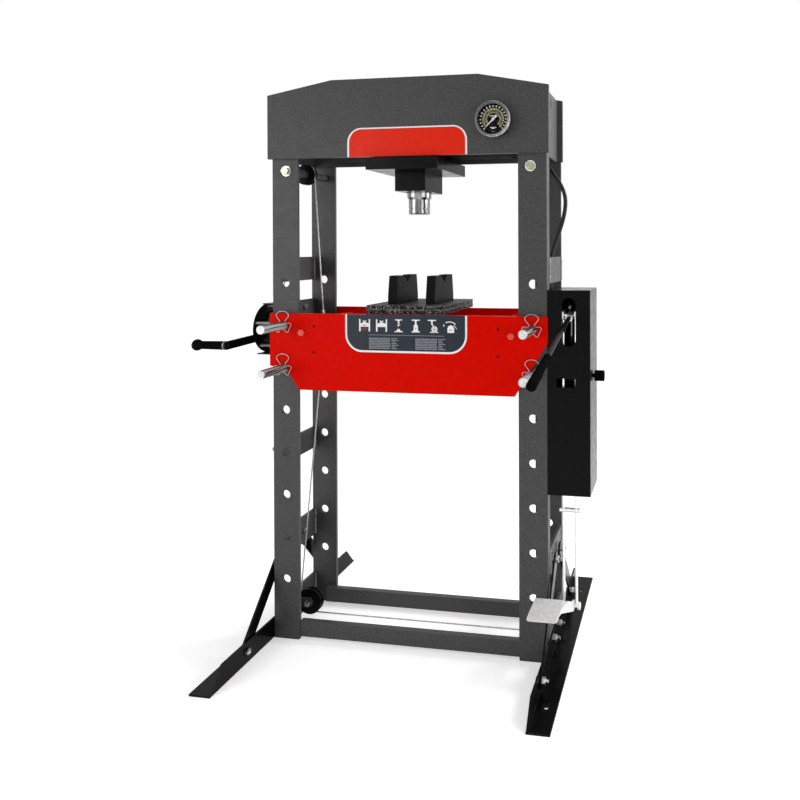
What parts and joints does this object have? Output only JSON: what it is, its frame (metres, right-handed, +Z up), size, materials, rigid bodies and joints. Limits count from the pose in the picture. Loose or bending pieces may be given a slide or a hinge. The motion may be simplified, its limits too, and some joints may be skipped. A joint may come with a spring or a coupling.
{
  "type": "hydraulic workshop press",
  "caption": "Floor-standing H-frame workshop press with a sliding cylinder head, a pinned table on a winch and wire ropes, and a pump with hand lever and foot pedal.",
  "frame": {"origin": "on the floor, midway between the left and right uprights and midway between the front faces of the front and rear uprights", "axes": "+X to the right of someone facing the press, +Y away from them through the press, +Z up"},
  "size_m": [1.319, 1.0645, 1.835],
  "materials": {
    "frame_paint": "hammered dark grey enamel",
    "table_red": "gloss red enamel",
    "black_paint": "semi-gloss black powder coat",
    "zinc_steel": "zinc plated",
    "pin_steel": "turned and oiled",
    "cast_pulleys": "machined",
    "plate_steel": "grey enamel",
    "ram_chrome": "polished",
    "panel_red": "gloss",
    "panel_grey": "satin",
    "gauge_black": "gloss",
    "dial_black": "matt",
    "gauge_lens": "clear",
    "pointer_white": "matt",
    "wire_rope": "galvanised",
    "grip_black": "satin",
    "lever_paint": "gloss",
    "pump_paint": "satin",
    "hose_rubber": "matt"
  },
  "bodies": {
    "frame": {"front_uprights": "frame_paint", "rear_uprights": "frame_paint", "side_spacers": "frame_paint", "feet": "black_paint", "braces": "black_paint", "pulley_brackets": "frame_paint", "beam_plates": "frame_paint", "cross_rails": "frame_paint", "frame_bolts": "zinc_steel", "frame_nuts": "zinc_steel", "table_plates": "table_red", "table_webs": "table_red", "table_bolts": "table_red", "arbor_plates": "plate_steel", "vee_blocks": "plate_steel", "head_panel": "panel_red", "table_panel": "panel_grey", "gauge_case": "gauge_black", "gauge_dial": "dial_black", "gauge_glass": "gauge_lens", "rope_eyes": "wire_rope", "lift_rope": "wire_rope", "level_rope": "wire_rope", "winch_frame": "black_paint", "winch_bolts": "zinc_steel", "pump_box": "black_paint", "pump_block": "pump_paint", "pressure_hose": "hose_rubber", "gauge_hose": "hose_rubber"},
    "cylinder_head": {"saddle": "black_paint", "head_fittings": "black_paint", "cylinder": "black_paint", "cylinder_guard": "black_paint"},
    "ram": {"ram": "ram_chrome"},
    "drum": {"winch_drum": "zinc_steel", "rope_coil": "wire_rope"},
    "crank": {"crank_shaft": "zinc_steel", "crank_arm": "black_paint"},
    "crank_grip": {"crank_grip": "grip_black"},
    "upper_left_pulley": {"left_upper_pulley": "cast_pulleys"},
    "upper_right_pulley": {"right_upper_pulley": "cast_pulleys"},
    "lower_left_pulley": {"left_lower_pulley": "cast_pulleys"},
    "lower_right_pulley": {"right_lower_pulley": "cast_pulleys"},
    "pump_lever": {"lever_socket": "zinc_steel", "lever_tube": "lever_paint", "lever_grip": "grip_black"},
    "pedal": {"stirrup": "zinc_steel", "pedal": "zinc_steel"},
    "plunger": {"pump_plunger": "ram_chrome"},
    "release_knob": {"release_knob": "grip_black"},
    "gauge_pointer": {"gauge_pointer": "pointer_white"},
    "left_lower_pin": {"left_lower_pin": "pin_steel", "left_lower_clip": "pin_steel"},
    "left_upper_pin": {"left_upper_pin": "pin_steel", "left_upper_clip": "pin_steel"},
    "right_lower_pin": {"right_lower_pin": "pin_steel", "right_lower_clip": "pin_steel"},
    "right_upper_pin": {"right_upper_pin": "pin_steel", "right_upper_clip": "pin_steel"}
  },
  "joints": [
    {"name": "head_slide", "type": "slide", "parent": "frame", "child": "cylinder_head", "axis": [1, 0, 0], "range_m": [-0.1, 0.1], "deforming": ["pressure_hose", "gauge_hose"]},
    {"name": "ram_stroke", "type": "slide", "parent": "cylinder_head", "child": "ram", "axis": [0, 0, -1], "range_m": [0, 0.18], "stiffness_N_per_m": 1500, "springref_m": -0.12},
    {"name": "drum_spin", "type": "hinge", "parent": "frame", "child": "drum", "pos_m": [-0.53, 0.0318, 1.017], "axis": [1, 0, 0], "continuous": true},
    {"name": "crank_spin", "type": "hinge", "parent": "frame", "child": "crank", "pos_m": [-0.56, -0.0288, 0.984], "axis": [1, 0, 0], "continuous": true},
    {"name": "grip_spin", "type": "hinge", "parent": "crank", "child": "crank_grip", "pos_m": [-0.62, -0.2018, 0.979], "axis": [1, 0, 0], "continuous": true},
    {"name": "upper_left_pulley_spin", "type": "hinge", "parent": "frame", "child": "upper_left_pulley", "pos_m": [-0.412, 0, 1.545], "axis": [0, 1, 0], "continuous": true},
    {"name": "upper_right_pulley_spin", "type": "hinge", "parent": "frame", "child": "upper_right_pulley", "pos_m": [0.412, 0, 1.545], "axis": [0, 1, 0], "continuous": true},
    {"name": "lower_left_pulley_spin", "type": "hinge", "parent": "frame", "child": "lower_left_pulley", "pos_m": [-0.403, 0, 0.066], "axis": [0, 1, 0], "continuous": true},
    {"name": "lower_right_pulley_spin", "type": "hinge", "parent": "frame", "child": "lower_right_pulley", "pos_m": [0.403, 0, 0.066], "axis": [0, 1, 0], "continuous": true},
    {"name": "lever_swing", "type": "hinge", "parent": "frame", "child": "pump_lever", "pos_m": [0.531, -0.0175, 1.098], "axis": [1, 0, 0], "range_deg": [-18, 24]},
    {"name": "pedal_travel", "type": "slide", "parent": "frame", "child": "pedal", "axis": [0, 0, -1], "range_m": [-0.028, 0.036]},
    {"name": "plunger_travel", "type": "slide", "parent": "frame", "child": "plunger", "axis": [0, 0, -1], "range_m": [-0.017, 0.023]},
    {"name": "release_turn", "type": "hinge", "parent": "frame", "child": "release_knob", "pos_m": [0.605, -0.042, 0.884], "axis": [1, 0, 0], "range_deg": [0, 270]},
    {"name": "gauge_reading", "type": "hinge", "parent": "frame", "child": "gauge_pointer", "pos_m": [0.302, -0.15, 1.687], "axis": [0, 1, 0], "range_deg": [0, 270], "stiffness_Nm_per_rad": 0.002, "springref_deg": -17.19},
    {"name": "left_lower_pin_draw", "type": "slide", "parent": "frame", "child": "left_lower_pin", "axis": [0, -1, 0], "range_m": [0, 0.275]},
    {"name": "left_upper_pin_draw", "type": "slide", "parent": "frame", "child": "left_upper_pin", "axis": [0, -1, 0], "range_m": [0, 0.275]},
    {"name": "right_lower_pin_draw", "type": "slide", "parent": "frame", "child": "right_lower_pin", "axis": [0, -1, 0], "range_m": [0, 0.275]},
    {"name": "right_upper_pin_draw", "type": "slide", "parent": "frame", "child": "right_upper_pin", "axis": [0, -1, 0], "range_m": [0, 0.275]}
  ],
  "couplings": [
    {"joint": "crank_spin", "follows": "drum_spin", "ratio": -2.8333},
    {"joint": "upper_left_pulley_spin", "follows": "drum_spin", "ratio": -1.0325},
    {"joint": "upper_right_pulley_spin", "follows": "drum_spin", "ratio": 1.0325},
    {"joint": "lower_left_pulley_spin", "follows": "drum_spin", "ratio": 0.8196},
    {"joint": "lower_right_pulley_spin", "follows": "drum_spin", "ratio": 0.8196},
    {"joint": "pedal_travel", "follows": "lever_swing", "m_per_rad": 0.08},
    {"joint": "plunger_travel", "follows": "lever_swing", "m_per_rad": 0.05}
  ]
}
